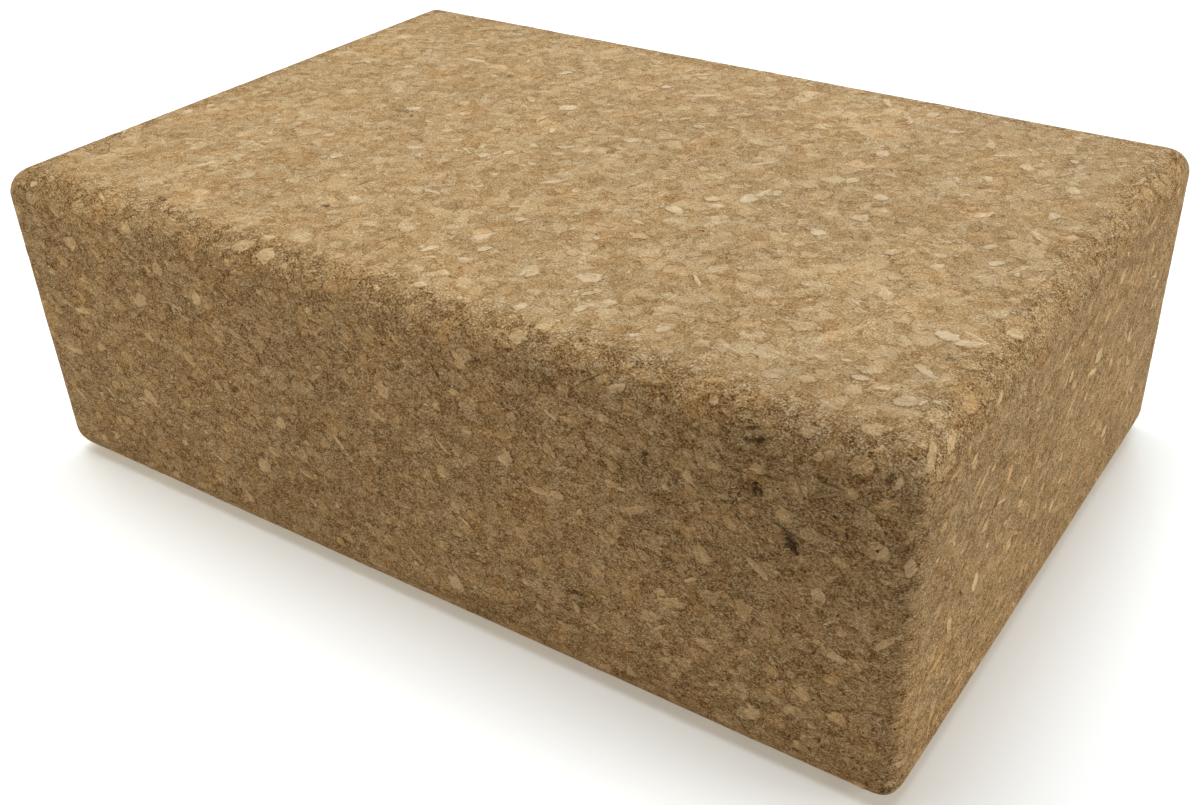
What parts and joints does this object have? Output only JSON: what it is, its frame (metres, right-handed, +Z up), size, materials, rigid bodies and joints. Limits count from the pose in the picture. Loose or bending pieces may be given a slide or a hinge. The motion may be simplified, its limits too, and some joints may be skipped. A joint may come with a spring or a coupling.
{
  "type": "yoga block",
  "caption": "Rectangular cork yoga block of pressed cork granules and binder, with all edges rounded and coarse pale, tan and bark granules set flush in its faces.",
  "frame": {"origin": "middle of the large face that the block rests on", "axes": "+Z up through the thickness; +X along the length; the front long face looks along -Y"},
  "size_m": [0.2286, 0.1524, 0.0762],
  "materials": {
    "cork": "matt, open-grained pressed cork",
    "pale_cork": "matt sanded cork",
    "tan_cork": "matt sanded cork",
    "bark": "matt, rough cork bark"
  },
  "bodies": {
    "root": {"cork_matrix": "cork", "top_pale_granules": "pale_cork", "top_tan_granules": "tan_cork", "top_bark_granules": "bark", "bottom_pale_granules": "pale_cork", "bottom_tan_granules": "tan_cork", "bottom_bark_granules": "bark", "front_pale_granules": "pale_cork", "front_tan_granules": "tan_cork", "front_bark_granules": "bark", "back_pale_granules": "pale_cork", "back_tan_granules": "tan_cork", "back_bark_granules": "bark", "right_end_pale_granules": "pale_cork", "right_end_tan_granules": "tan_cork", "right_end_bark_granules": "bark", "left_end_pale_granules": "pale_cork", "left_end_tan_granules": "tan_cork", "left_end_bark_granules": "bark", "edge_pale_granules": "pale_cork", "edge_tan_granules": "tan_cork", "edge_bark_granules": "bark"}
  },
  "joints": []
}
